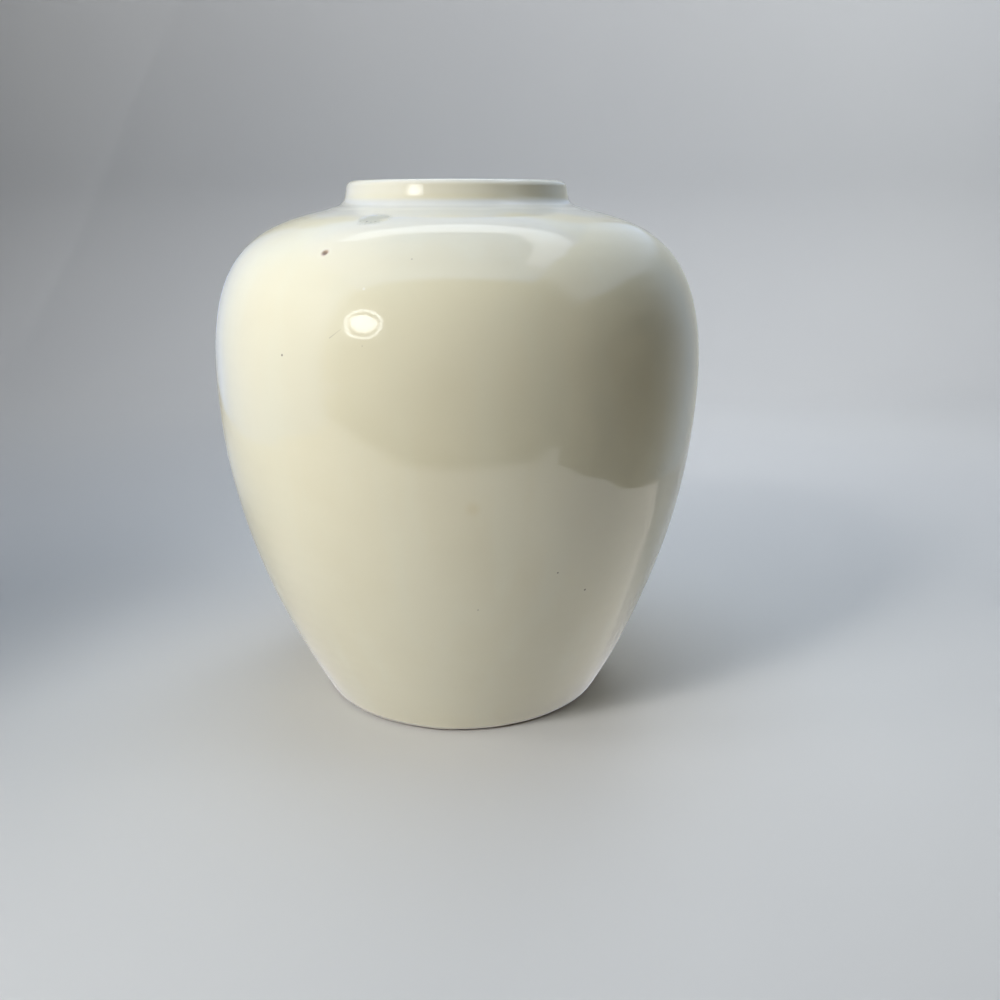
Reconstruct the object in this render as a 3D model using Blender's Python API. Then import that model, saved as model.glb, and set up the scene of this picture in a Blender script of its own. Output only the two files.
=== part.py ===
# Glazed ceramic vase, turned in sections that are luted together.
# Metres, +Z up, origin on the turning axis at the plane that the foot stands on.
import math

import bmesh
import bpy

# Finished outside, measured over the glaze
HEIGHT = 0.2000
FOOT_RADIUS = 0.0585
FOOT_LEAN = math.radians(61.6)
BELLY_RADIUS = 0.0934
BELLY_HEIGHT = 0.1298
SHOULDER_SLOPE = math.radians(15.2)
COLLAR_RADIUS = 0.0423
COLLAR_RISE = 0.0083
COLLAR_FILLET = 0.0027
LIP_RADIUS = 0.0412
LIP_THICKNESS = 0.0052

# Fullness of the two wall curves, as shares of the spans that they cross
FOOT_SPRING = 0.515
BELLY_FALL = 0.183
BELLY_RISE = 0.883
SHOULDER_RUN = 0.437

# Clay thickness, and the coats on it
CLAY_WALL = 0.0050
CLAY_FLOOR = 0.0065
FLOOR_CORNER = 0.0120
GLAZE = 0.0005
SEAM = 0.0003
GLAZE_LINE = 0.0015
GLAZE_TURNOVER = 0.0030

# Foot ring and the recess under the floor
FOOT_HEIGHT = 0.0090
FOOT_WIDTH = 0.0065
FOOT_EASING = 0.0008
RECESS = 0.0050
RECESS_COVE = 0.0015
RECESS_GLAZE_LINE = 0.0020

# Joints between the clay sections
BELLY_LAP = 0.0040
NECK_SPIGOT = 0.0022
NECK_SEAT_SHARE = 0.30

# Facets round the axis and along each stretch of outline
TURN_STEPS = 40
LOWER_STEPS = 7
UPPER_STEPS = 8
CORNER_STEPS = 3
LIP_STEPS = 6
SHARP_ANGLE = math.radians(35)

# Colour and roughness of each finish
CLAY_FINISH = ((0.78, 0.72, 0.62), 0.85)
GLAZE_FINISH = ((0.86, 0.84, 0.77), 0.08)
LINER_FINISH = ((0.84, 0.82, 0.75), 0.12)

# Working tolerances: bisection halvings, share of a step that is too near an end, welding distance
HALVINGS = 50
NEAR_END = 0.1
WELD = 1e-6

# Worked out from the sizes above
COAT = GLAZE + SEAM
FULL_WALL = CLAY_WALL + 2 * COAT
LIP_ROUND = LIP_THICKNESS / 2
THROAT_RADIUS = LIP_RADIUS - LIP_THICKNESS
TURNOVER_HEIGHT = HEIGHT - LIP_ROUND - GLAZE_TURNOVER
FLOOR_TOP = RECESS + CLAY_FLOOR + 2 * COAT
FOOT_BORE = FOOT_RADIUS - COAT - FOOT_WIDTH
LAP_RADIUS = BELLY_RADIUS - COAT - CLAY_WALL / 2
NECK_OPENING = THROAT_RADIUS + COAT + NECK_SPIGOT + SEAM


class Curve:
    """A Bezier stretch of outline in (radius, height), travelled with the material on its left."""

    def __init__(self, *controls):
        self.controls = controls

    def tangent(self, t):
        """Two points on the tangent at t, which divide into the curve's own point at t."""
        row = self.controls
        while len(row) > 2:
            row = [(a[0] + (b[0] - a[0]) * t, a[1] + (b[1] - a[1]) * t) for a, b in zip(row, row[1:])]
        return row

    def slope(self, t):
        (r0, z0), (r1, z1) = self.tangent(t)
        return math.atan2(z1 - z0, r1 - r0)

    def point(self, t, depth=0.0):
        """The point at t, moved depth into the material along the normal."""
        (r0, z0), (r1, z1) = self.tangent(t)
        length = math.hypot(r1 - r0, z1 - z0)
        radius = r0 + (r1 - r0) * t - depth * (z1 - z0) / length
        height = z0 + (z1 - z0) * t + depth * (r1 - r0) / length
        return radius, height

    def run(self, start, end, steps, depth=0.0):
        """Points from start to end: the two ends, and the curve's even divisions that lie between them."""
        low, high = sorted((start, end))
        near_end = NEAR_END / steps
        between = [i / steps for i in range(steps) if low + near_end < i / steps < high - near_end]
        stations = [low, *between, high]
        if start > end:
            stations.reverse()
        return [self.point(t, depth) for t in stations]

    def where(self, axis, value, depth=0.0):
        """The t at which the curve's radius (axis 0) or height (axis 1) reaches a value."""
        low, high = 0.0, 1.0
        rising = self.point(1.0, depth)[axis] > self.point(0.0, depth)[axis]
        for _ in range(HALVINGS):
            middle = (low + high) / 2
            if (self.point(middle, depth)[axis] < value) == rising:
                low = middle
            else:
                high = middle
        return low


def rounded_corner(before, corner, after, reach):
    """A curve that rounds a corner, leaving each side at the given reach from it."""

    def towards(other):
        span = math.dist(corner, other)
        return (
            corner[0] + (other[0] - corner[0]) * reach / span,
            corner[1] + (other[1] - corner[1]) * reach / span,
        )

    return Curve(towards(before), corner, towards(after))


# Outside curves: foot to belly, belly to shoulder, shoulder to collar
collar_foot = (COLLAR_RADIUS, HEIGHT - COLLAR_RISE)
collar_top = (LIP_RADIUS, HEIGHT - LIP_ROUND)
belly = (BELLY_RADIUS, BELLY_HEIGHT)
shoulder_out = (
    collar_foot[0] + math.cos(SHOULDER_SLOPE) * SHOULDER_RUN * (BELLY_RADIUS - COLLAR_RADIUS),
    collar_foot[1] - math.sin(SHOULDER_SLOPE) * SHOULDER_RUN * (BELLY_RADIUS - COLLAR_RADIUS),
)
fillet = rounded_corner(shoulder_out, collar_foot, collar_top, COLLAR_FILLET)
lower_wall = Curve(
    (FOOT_RADIUS, 0.0),
    (
        FOOT_RADIUS + math.cos(FOOT_LEAN) * FOOT_SPRING * BELLY_HEIGHT,
        math.sin(FOOT_LEAN) * FOOT_SPRING * BELLY_HEIGHT,
    ),
    (BELLY_RADIUS, BELLY_HEIGHT * (1 - BELLY_FALL)),
    belly,
)
upper_wall = Curve(
    belly,
    (BELLY_RADIUS, BELLY_HEIGHT + BELLY_RISE * (collar_foot[1] - BELLY_HEIGHT)),
    shoulder_out,
    fillet.point(0.0),
)


def lip(depth):
    """The half-round lip, from the collar's outside over to the throat."""
    centre = (LIP_RADIUS - LIP_ROUND, HEIGHT - LIP_ROUND)
    angles = [math.pi * i / LIP_STEPS for i in range(LIP_STEPS + 1)]
    size = LIP_ROUND - depth
    return [(centre[0] + size * math.cos(a), centre[1] + size * math.sin(a)) for a in angles]


def under_shoulder(radius, depth):
    """A point on the straight underside of the shoulder, depth above the finished inside."""
    end = upper_wall.point(1.0, FULL_WALL - depth)
    return radius, end[1] + (end[0] - radius) * math.tan(SHOULDER_SLOPE)


# Inside corners: throat to shoulder, and wall to floor
throat_corner = rounded_corner(
    (THROAT_RADIUS, HEIGHT),
    under_shoulder(THROAT_RADIUS, 0.0),
    upper_wall.point(1.0, FULL_WALL),
    NECK_SPIGOT,
)
floor_t = lower_wall.where(1, FLOOR_TOP + FLOOR_CORNER, FULL_WALL)
floor_side = lower_wall.point(floor_t, FULL_WALL)
floor_side_slope = lower_wall.slope(floor_t)
floor_corner_radius = floor_side[0] - FLOOR_CORNER / math.tan(floor_side_slope)
floor_corner = rounded_corner(
    floor_side,
    (floor_corner_radius, FLOOR_TOP),
    (0.0, FLOOR_TOP),
    FLOOR_CORNER / math.sin(floor_side_slope),
)


def outside(depth):
    """The outer coat's outline at a depth: glaze line, wall, shoulder, collar, lip, turnover."""
    start = lower_wall.where(1, GLAZE_LINE)
    return (
        lower_wall.run(start, 1.0, LOWER_STEPS, depth)
        + upper_wall.run(0.0, 1.0, UPPER_STEPS, depth)[1:]
        + fillet.run(0.0, 1.0, CORNER_STEPS, depth)[1:]
        + lip(depth)
        + [(THROAT_RADIUS + depth, TURNOVER_HEIGHT)]
    )


def bowl_inside(depth):
    """The inside below the belly line, at a depth into the material, down to the floor's middle."""
    return (
        lower_wall.run(1.0, floor_t, LOWER_STEPS, FULL_WALL - depth)
        + floor_corner.run(0.0, 1.0, CORNER_STEPS, depth)[1:]
        + [(0.0, FLOOR_TOP - depth)]
    )


def inside(depth):
    """The liner's outline at a depth: throat, shoulder, wall and floor."""
    return (
        [(THROAT_RADIUS + depth, TURNOVER_HEIGHT - SEAM)]
        + throat_corner.run(0.0, 1.0, CORNER_STEPS, depth)
        + upper_wall.run(1.0, 0.0, UPPER_STEPS, FULL_WALL - depth)
        + bowl_inside(depth)[1:]
    )


def foot_ring_outline():
    """Ring under the wall: flat bearing face, eased edges, plain bore, flat top."""
    top = FOOT_HEIGHT - SEAM
    face_t = lower_wall.where(1, FOOT_EASING, COAT)
    face = lower_wall.point(face_t, COAT)
    outer_edge = (face[0] - FOOT_EASING / math.tan(FOOT_LEAN), 0.0)
    inner_ease = rounded_corner((FOOT_BORE, top), (FOOT_BORE, 0.0), outer_edge, FOOT_EASING)
    outer_ease = rounded_corner((FOOT_BORE, 0.0), outer_edge, face, FOOT_EASING)
    return (
        inner_ease.run(0.0, 1.0, CORNER_STEPS)
        + outer_ease.run(0.0, 1.0, CORNER_STEPS)
        + lower_wall.run(face_t, lower_wall.where(1, top, COAT), 1, COAT)
        + [(FOOT_BORE, top)]
    )


def lower_body_outline():
    """Floor with its centring boss, seat for the ring, wall, and the inner half of the belly lap."""
    boss = FOOT_BORE - SEAM
    lap_top = BELLY_HEIGHT + BELLY_LAP
    upstand = LAP_RADIUS - SEAM / 2
    clay_inside = FULL_WALL - COAT
    return (
        [(0.0, RECESS + COAT), (boss, RECESS + COAT), (boss, FOOT_HEIGHT)]
        + lower_wall.run(lower_wall.where(1, FOOT_HEIGHT, COAT), 1.0, LOWER_STEPS, COAT)
        + [(upstand, BELLY_HEIGHT), (upstand, lap_top)]
        + [upper_wall.point(upper_wall.where(1, lap_top, clay_inside), clay_inside)]
        + bowl_inside(COAT)
    )


def neck_seat():
    """Radius of the seat turned round the neck opening, and its height."""
    edge = upper_wall.point(1.0, COAT)
    return edge[0], edge[1] - NECK_SEAT_SHARE * CLAY_WALL


def upper_body_outline():
    """Shoulder section: outer half of the belly lap, wall, neck seat, opening, underside."""
    skirt = LAP_RADIUS + SEAM / 2
    skirt_foot = BELLY_HEIGHT + SEAM
    lap_top = BELLY_HEIGHT + BELLY_LAP + SEAM
    seat_radius, seat_height = neck_seat()
    clay_inside = FULL_WALL - COAT
    lap_t = upper_wall.where(1, lap_top, clay_inside)
    return (
        upper_wall.run(upper_wall.where(1, skirt_foot, COAT), 1.0, UPPER_STEPS, COAT)
        + [(seat_radius, seat_height), (NECK_OPENING, seat_height)]
        + [under_shoulder(NECK_OPENING, COAT)]
        + upper_wall.run(1.0, lap_t, UPPER_STEPS, clay_inside)
        + [(skirt, lap_top), (skirt, skirt_foot)]
    )


def neck_collar_outline():
    """Collar: flange on the neck seat, fillet, lip, throat, and the spigot in the opening."""
    seat_radius, seat_height = neck_seat()
    flange = seat_radius - SEAM
    underside = seat_height + SEAM
    spigot = NECK_OPENING - SEAM
    return (
        [(flange, underside)]
        + fillet.run(fillet.where(0, flange, COAT), 1.0, CORNER_STEPS, COAT)
        + lip(COAT)
        + throat_corner.run(0.0, 1.0, CORNER_STEPS, COAT)
        + [under_shoulder(spigot, COAT), (spigot, underside)]
    )


def base_glaze_outline():
    """Glaze under the floor, turned down the bore of the ring with a coved corner."""
    bore = FOOT_BORE - COAT
    back = FOOT_BORE - SEAM
    cove = rounded_corner((0.0, RECESS), (bore, RECESS), (bore, 0.0), RECESS_COVE)
    return (
        [(0.0, RECESS)]
        + cove.run(0.0, 1.0, CORNER_STEPS)
        + [(bore, RECESS_GLAZE_LINE), (back, RECESS_GLAZE_LINE)]
        + [(back, RECESS + GLAZE), (0.0, RECESS + GLAZE)]
    )


def make_material(name, colour, roughness):
    material = bpy.data.materials.new(name)
    material.use_nodes = True
    shader = material.node_tree.nodes["Principled BSDF"]
    shader.inputs["Base Color"].default_value = (*colour, 1.0)
    shader.inputs["Roughness"].default_value = roughness
    shader.inputs["Metallic"].default_value = 0.0
    return material


def turn(name, outline, seat, parent, material):
    """Turns an outline round the axis into one piece whose own origin is at its seat height."""
    shape = bmesh.new()
    ring = [shape.verts.new((radius, 0.0, height - seat)) for radius, height in outline]
    pairs = list(zip(ring, ring[1:]))
    if outline[0][0] > 0.0:
        pairs.append((ring[-1], ring[0]))
    edges = [shape.edges.new(pair) for pair in pairs]
    bmesh.ops.spin(
        shape,
        geom=ring + edges,
        axis=(0.0, 0.0, 1.0),
        cent=(0.0, 0.0, 0.0),
        steps=TURN_STEPS,
        angle=math.tau,
        use_merge=True,
    )
    bmesh.ops.remove_doubles(shape, verts=shape.verts, dist=WELD)
    bmesh.ops.recalc_face_normals(shape, faces=shape.faces)
    mesh = bpy.data.meshes.new(name)
    shape.to_mesh(mesh)
    shape.free()
    mesh.shade_smooth()
    mesh.set_sharp_from_angle(angle=SHARP_ANGLE)
    mesh.materials.append(material)
    piece = bpy.data.objects.new(name, mesh)
    piece.location.z = seat
    piece.parent = parent
    bpy.context.scene.collection.objects.link(piece)


def main():
    for old in list(bpy.data.objects):
        bpy.data.objects.remove(old, do_unlink=True)
    vase = bpy.data.objects.new("vase", None)
    bpy.context.scene.collection.objects.link(vase)
    clay = make_material("bare_clay", *CLAY_FINISH)
    glaze = make_material("ivory_glaze", *GLAZE_FINISH)
    liner = make_material("liner_glaze", *LINER_FINISH)
    turn("foot_ring", foot_ring_outline(), 0.0, vase, clay)
    turn("lower_body", lower_body_outline(), FOOT_HEIGHT, vase, clay)
    turn("upper_body", upper_body_outline(), BELLY_HEIGHT, vase, clay)
    turn("neck_collar", neck_collar_outline(), neck_seat()[1], vase, clay)
    turn("outer_glaze", outside(0.0) + outside(GLAZE)[::-1], 0.0, vase, glaze)
    turn("liner_glaze", inside(GLAZE)[::-1] + inside(0.0), FLOOR_TOP, vase, liner)
    turn("base_glaze", base_glaze_outline(), RECESS, vase, glaze)


main()
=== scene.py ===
import math

import bpy
import numpy as np
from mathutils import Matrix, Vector


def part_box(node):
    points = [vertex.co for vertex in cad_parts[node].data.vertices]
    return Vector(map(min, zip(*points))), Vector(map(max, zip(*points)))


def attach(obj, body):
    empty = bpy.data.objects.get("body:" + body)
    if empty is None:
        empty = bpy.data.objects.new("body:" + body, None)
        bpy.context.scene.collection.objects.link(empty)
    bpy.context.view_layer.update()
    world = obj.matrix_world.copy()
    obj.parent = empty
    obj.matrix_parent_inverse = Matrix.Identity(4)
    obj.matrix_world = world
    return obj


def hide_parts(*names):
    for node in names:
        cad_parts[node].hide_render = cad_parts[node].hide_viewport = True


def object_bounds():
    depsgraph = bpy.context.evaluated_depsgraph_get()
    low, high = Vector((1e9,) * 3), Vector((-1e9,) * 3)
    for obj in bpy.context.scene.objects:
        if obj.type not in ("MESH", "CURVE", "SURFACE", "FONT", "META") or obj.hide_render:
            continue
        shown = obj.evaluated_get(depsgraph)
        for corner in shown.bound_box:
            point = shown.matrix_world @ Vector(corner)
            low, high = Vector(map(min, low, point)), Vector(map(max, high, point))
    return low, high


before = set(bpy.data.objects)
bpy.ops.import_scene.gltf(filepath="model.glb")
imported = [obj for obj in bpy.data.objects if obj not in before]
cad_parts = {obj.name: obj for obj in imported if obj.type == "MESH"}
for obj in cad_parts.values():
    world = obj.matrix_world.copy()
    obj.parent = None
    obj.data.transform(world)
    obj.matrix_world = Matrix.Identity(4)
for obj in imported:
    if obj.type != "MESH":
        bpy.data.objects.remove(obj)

mm = 0.001
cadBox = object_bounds()
print("frame loaded:", ", ".join(sorted(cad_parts)))

# the turned form over the glaze, in mm and degrees; the overall sizes come off the frame
vaseForm = {
    "height": cadBox[1].z / mm,
    "bellyRadius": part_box("outer_glaze")[1].x / mm,
    "bellyHeight": 129.8,
    "footRadius": 58.5,
    "footLean": 61.6,
    "footSpring": 0.515,      # fullness of the wall curves, as shares of their spans
    "bellyFall": 0.183,
    "bellyRise": 0.883,
    "shoulderRun": 0.437,
    "shoulderSlope": 15.2,
    "collarRadius": 42.3,
    "collarRise": 8.3,
    "collarFillet": 2.7,
    "lipRadius": 41.2,
    "lipThickness": 5.2,
    "clayWall": 5.0,
    "clayFloor": 6.5,
    "floorCorner": 12.0,
    "glaze": 0.5,
    "seam": 0.3,
    "turnover": 3.0,          # how far the outer glaze runs down inside the lip
    "recess": 5.0,            # hollow under the floor
    "throatCorner": 2.2,
    "linerGap": 0.05,         # between the turned-over glaze and the liner
    "lipPoints": 60,
}
coat = vaseForm["glaze"] + vaseForm["seam"]
fullWall = vaseForm["clayWall"] + 2 * coat
lipRound = vaseForm["lipThickness"] / 2
throatRadius = vaseForm["lipRadius"] - vaseForm["lipThickness"]
turnoverHeight = vaseForm["height"] - lipRound - vaseForm["turnover"]
floorTop = vaseForm["recess"] + vaseForm["clayFloor"] + 2 * coat


# outlines are rows of (radius, height), travelled with the outside on the right
def bezierRun(controls, count=300):
    share = np.linspace(0.0, 1.0, count)[:, None]
    layer = [np.asarray(c, float)[None, :] for c in controls]
    while len(layer) > 1:
        layer = [a + (b - a) * share for a, b in zip(layer, layer[1:])]
    return layer[0]


def towards(start, end, reach):
    start = np.asarray(start, float)
    way = np.asarray(end, float) - start
    return start + way * reach / np.hypot(*way)


def roundedCorner(before, corner, after, reach, count=40):
    return bezierRun((towards(corner, before, reach), corner, towards(corner, after, reach)), count)


def lengthsAlong(path):
    return np.concatenate([[0.0], np.cumsum(np.hypot(*np.diff(path, axis=0).T))])


def joinRuns(*runs):
    path = np.concatenate([np.atleast_2d(np.asarray(r, float)) for r in runs])
    step = np.hypot(*np.diff(path, axis=0).T)
    return path[np.concatenate([[True], step > 1e-6])]


def atLengths(path, lengths):
    along = lengthsAlong(path)
    return np.stack([np.interp(lengths, along, path[:, k]) for k in (0, 1)], axis=1)


def evenly(path, spacing):
    total = lengthsAlong(path)[-1]
    return atLengths(path, np.linspace(0.0, total, max(2, int(round(total / spacing)) + 1)))


def normalsOf(path):
    way = np.gradient(path, axis=0)
    across = np.stack([way[:, 1], -way[:, 0]], axis=1)
    return across / np.hypot(across[:, 0], across[:, 1])[:, None]


def insetPath(path, depth):
    return path - normalsOf(path) * depth


def firstBelow(path, height):
    return int(np.argmax(path[:, 1] <= height))


# the outside, from the foot to the throat
def wallCurves(f):
    belly = (f["bellyRadius"], f["bellyHeight"])
    lean = math.radians(f["footLean"])
    spring = f["footSpring"] * f["bellyHeight"]
    slope = math.radians(f["shoulderSlope"])
    collarFoot = np.array([f["collarRadius"], f["height"] - f["collarRise"]])
    collarTop = np.array([f["lipRadius"], f["height"] - lipRound])
    run = f["shoulderRun"] * (f["bellyRadius"] - f["collarRadius"])
    shoulderOut = collarFoot + np.array([math.cos(slope), -math.sin(slope)]) * run
    fillet = roundedCorner(shoulderOut, collarFoot, collarTop, f["collarFillet"])
    lower = bezierRun((
        (f["footRadius"], 0.0),
        (f["footRadius"] + math.cos(lean) * spring, math.sin(lean) * spring),
        (f["bellyRadius"], f["bellyHeight"] * (1 - f["bellyFall"])),
        belly,
    ))
    rise = f["bellyHeight"] + f["bellyRise"] * (collarFoot[1] - f["bellyHeight"])
    upper = bezierRun((belly, (f["bellyRadius"], rise), shoulderOut, fillet[0]))
    turn = np.linspace(0.0, math.pi, f["lipPoints"])[:, None]
    lipCentre = np.array([f["lipRadius"] - lipRound, f["height"] - lipRound])
    lip = lipCentre + lipRound * np.hstack([np.cos(turn), np.sin(turn)])
    return lower, upper, fillet, lip


lowerWall, upperWall, filletCurve, lipCurve = wallCurves(vaseForm)
wallPath = joinRuns(lowerWall, upperWall)
outsidePath = joinRuns(wallPath, filletCurve, lipCurve, (throatRadius, turnoverHeight))


# the inside, from the turned-over glaze down to the middle of the floor
def insideCurve():
    slope = math.tan(math.radians(vaseForm["shoulderSlope"]))
    inner = insetPath(wallPath, fullWall)[::-1]
    underShoulder = np.array([throatRadius, inner[0, 1] + (inner[0, 0] - throatRadius) * slope])
    throatTop = (throatRadius, vaseForm["height"])
    corner = roundedCorner(throatTop, underShoulder, inner[0], vaseForm["throatCorner"])
    side = firstBelow(inner, floorTop + vaseForm["floorCorner"])
    wayDown = inner[side] - inner[side - 1]
    drop = (floorTop - inner[side, 1]) / wayDown[1]
    foot = inner[side] + wayDown * drop
    reach = np.hypot(*(wayDown * drop))
    floorCurve = roundedCorner(inner[side], foot, (0.0, floorTop), reach)
    linerStart = (throatRadius, turnoverHeight - vaseForm["linerGap"])
    return joinRuns(linerStart, corner, inner[:side], floorCurve, (0.0, floorTop))


insidePath = insideCurve()
for side, sidePath in (("outside", outsidePath), ("inside", insidePath)):
    print("outline of the", side, "is", round(lengthsAlong(sidePath)[-1]), "mm long")

# slow unevenness of the turned wall, shared by every piece so that the seams stay even
unevenness = {
    "seed": 23,
    "slow": {"count": 10, "orders": (1, 6), "spans": (60, 160), "depth": 0.055},
    "fine": {"count": 26, "orders": (5, 19), "spans": (16, 46), "depth": 0.0075},
    "fade": (20.0, 50.0),     # radii over which it grows from nothing to full
}


def drawWaves(u):
    draw = np.random.default_rng(u["seed"])
    waves = []
    for kind in (u["slow"], u["fine"]):
        for _ in range(kind["count"]):
            order = draw.integers(*kind["orders"])
            span = draw.uniform(*kind["spans"])
            turn, lift = draw.uniform(0, math.tau, 2)
            waves.append((order, span, turn, lift, kind["depth"]))
    return waves


wallWaves = drawWaves(unevenness)


def wallOffset(azimuth, radius, height):
    total = np.zeros(np.broadcast(azimuth, height).shape)
    for order, span, turn, lift, depth in wallWaves:
        total += depth * np.cos(order * azimuth + turn) * np.cos(math.tau * height / span + lift)
    still, full = unevenness["fade"]
    return total * np.clip((radius - still) / (full - still), 0.0, 1.0)


# azimuth 0 faces the camera, and azimuth grows towards +X
def spinRows(path, azimuth, outward=0.0):
    radius, height = path[:, 0:1], path[:, 1:2]
    push = np.broadcast_to(outward, (len(path), len(azimuth)))
    normal = normalsOf(path)
    r = radius + wallOffset(azimuth[None, :], radius, height) + push * normal[:, 0:1]
    z = height + push * normal[:, 1:2]
    return np.stack([r * np.sin(azimuth), -r * np.cos(azimuth), z], axis=2)


def wallPoint(azimuthDegrees, height):
    rising = outsidePath[: int(np.argmax(outsidePath[:, 1])) + 1]
    radius = np.interp(height, rising[:, 1], rising[:, 0])
    azimuth = math.radians(azimuthDegrees)
    r = radius + float(wallOffset(np.array(azimuth), np.array(radius), np.array(height)))
    return np.array([r * math.sin(azimuth), -r * math.cos(azimuth), height])


def refined(stations, centre, reach, spacing):
    kept = stations[np.abs(stations - centre) > reach]
    extra = np.arange(centre - reach, centre + reach + spacing / 2, spacing)
    return np.sort(np.concatenate([kept, extra]))


def evenTurn(count):
    return np.linspace(-math.pi, math.pi, count, endpoint=False)


# rows of points become one closed skin; a pole closes a row of points onto the axis
def skinMesh(name, rows, closed=False, poleStart=None, poleEnd=None, stripV=None, discs=()):
    count, around = rows.shape[:2]
    points = list(rows.reshape(-1, 3))
    index = np.arange(count * around).reshape(count, around)
    following = np.roll(index, -1, axis=1)
    pairs = [(i, i + 1) for i in range(count - 1)] + ([(count - 1, 0)] if closed else [])
    faces = []
    for low, high in pairs:
        quad = np.stack([index[low], following[low], following[high], index[high]], axis=1)
        faces += quad.tolist()
    for height, row, order in ((poleStart, 0, -1), (poleEnd, count - 1, 1)):
        if height is not None:
            points.append(np.array([0.0, 0.0, height]))
            tip = np.full(around, len(points) - 1)
            fan = np.stack([index[row], following[row], tip], axis=1)[:, ::order]
            faces += fan.tolist()
    mesh = bpy.data.meshes.new(name)
    mesh.from_pydata(np.asarray(points) * mm, [], faces)
    mesh.update()
    mesh.shade_smooth()
    if stripV is not None:
        unwrapSkin(mesh, count, around, stripV, discs)
    return mesh


# in the map the walls are strips and the flat floors are discs: (rows, centre, size, radius in mm)
def unwrapSkin(mesh, count, around, stripV, discs):
    layer = mesh.uv_layers.new(name="OFBake")
    loops = np.empty(len(mesh.loops), np.int32)
    mesh.loops.foreach_get("vertex_index", loops)
    place = np.empty(len(mesh.vertices) * 3, np.float32)
    mesh.vertices.foreach_get("co", place)
    place = place.reshape(-1, 3) / mm
    starts = np.empty(len(mesh.polygons), np.int32)
    sizes = np.empty(len(mesh.polygons), np.int32)
    mesh.polygons.foreach_get("loop_start", starts)
    mesh.polygons.foreach_get("loop_total", sizes)
    face = np.repeat(np.arange(len(starts)), sizes)
    row = np.minimum(loops // around, count - 1)
    column = (loops % around).astype(float)
    first = column[starts][face]
    column = np.where((column == 0) & (first == around - 1), around, column)
    lowRow = np.minimum.reduceat(row, starts)[face]
    highRow = np.maximum.reduceat(row, starts)[face]
    wraps = (highRow - lowRow) > 1
    v = np.where(wraps & (row == lowRow), stripV[-1], np.asarray(stripV)[row])
    uv = np.stack([column / around, v], axis=1)
    for (startRow, endRow), centre, size, reach in discs:
        inside = (lowRow >= startRow) & (highRow <= endRow) & ~wraps
        flat = place[loops[inside], :2] / reach * size
        uv[inside] = np.asarray(centre) + flat
    layer.data.foreach_set("uv", uv.astype(np.float32).ravel())


def placePiece(name, mesh, material, node):
    mesh.materials.append(material)
    piece = bpy.data.objects.new(name, mesh)
    bpy.context.scene.collection.objects.link(piece)
    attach(piece, "root")
    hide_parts(node)
    return piece


# node helpers
def addNode(tree, kind, sockets=None, **settings):
    node = tree.nodes.new(kind)
    for key, value in settings.items():
        setattr(node, key, value)
    for key, value in (sockets or {}).items():
        if isinstance(value, bpy.types.NodeSocket):
            tree.links.new(value, node.inputs[key])
        else:
            node.inputs[key].default_value = value
    return node


def newFinish(name):
    material = bpy.data.materials.new(name)
    material.use_nodes = True
    tree = material.node_tree
    place = addNode(tree, "ShaderNodeTexCoord").outputs["Object"]
    return material, tree, tree.nodes["Principled BSDF"], place


def stretched(tree, place, x, y, z):
    return addNode(tree, "ShaderNodeMapping", {"Vector": place, "Scale": (x, y, z)}).outputs[0]


def noiseOf(tree, place, scale, detail=2.0, roughness=0.5):
    sockets = {"Vector": place, "Scale": scale, "Detail": detail, "Roughness": roughness}
    return addNode(tree, "ShaderNodeTexNoise", sockets).outputs["Fac"]


def rangeOf(tree, value, low, high, toLow=0.0, toHigh=1.0):
    sockets = {"Value": value, 1: low, 2: high, 3: toLow, 4: toHigh}
    node = addNode(tree, "ShaderNodeMapRange", sockets, interpolation_type="SMOOTHSTEP")
    return node.outputs[0]


def mixOf(tree, share, first, second):
    return addNode(tree, "ShaderNodeMix", {0: share, 6: first, 7: second}, data_type="RGBA").outputs[2]


def mathOf(tree, first, second, how="ADD"):
    return addNode(tree, "ShaderNodeMath", {0: first, 1: second}, operation=how).outputs[0]


def attributeOf(tree, name):
    return addNode(tree, "ShaderNodeAttribute", attribute_name=name).outputs["Fac"]


def spotOf(tree, place, centre, radius, softness=0.25):
    away = addNode(tree, "ShaderNodeVectorMath", {0: place, 1: tuple(centre * mm)}, operation="DISTANCE")
    return rangeOf(tree, away.outputs["Value"], radius * (1 + softness) * mm, radius * (1 - softness) * mm)


# round flecks, in all but the plain share of the cells
def fleckOf(tree, place, scale, plainShare, size):
    cells = addNode(tree, "ShaderNodeTexVoronoi", {"Vector": place, "Scale": scale}).outputs
    pick = addNode(tree, "ShaderNodeSeparateColor", {0: cells["Color"]}).outputs[0]
    return mathOf(tree, cells["Distance"], rangeOf(tree, pick, plainShare, 1.0, 0.0, size), "LESS_THAN")


def bumpOf(tree, height, strength, depth):
    sockets = {"Height": height, "Strength": strength, "Distance": depth * mm}
    return addNode(tree, "ShaderNodeBump", sockets).outputs[0]


def tinted(tree, colour, mask, share, tint):
    return mixOf(tree, mathOf(tree, mask, share, "MULTIPLY"), colour, tint)


def rgb(red, green, blue):
    return (red, green, blue, 1.0)


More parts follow.
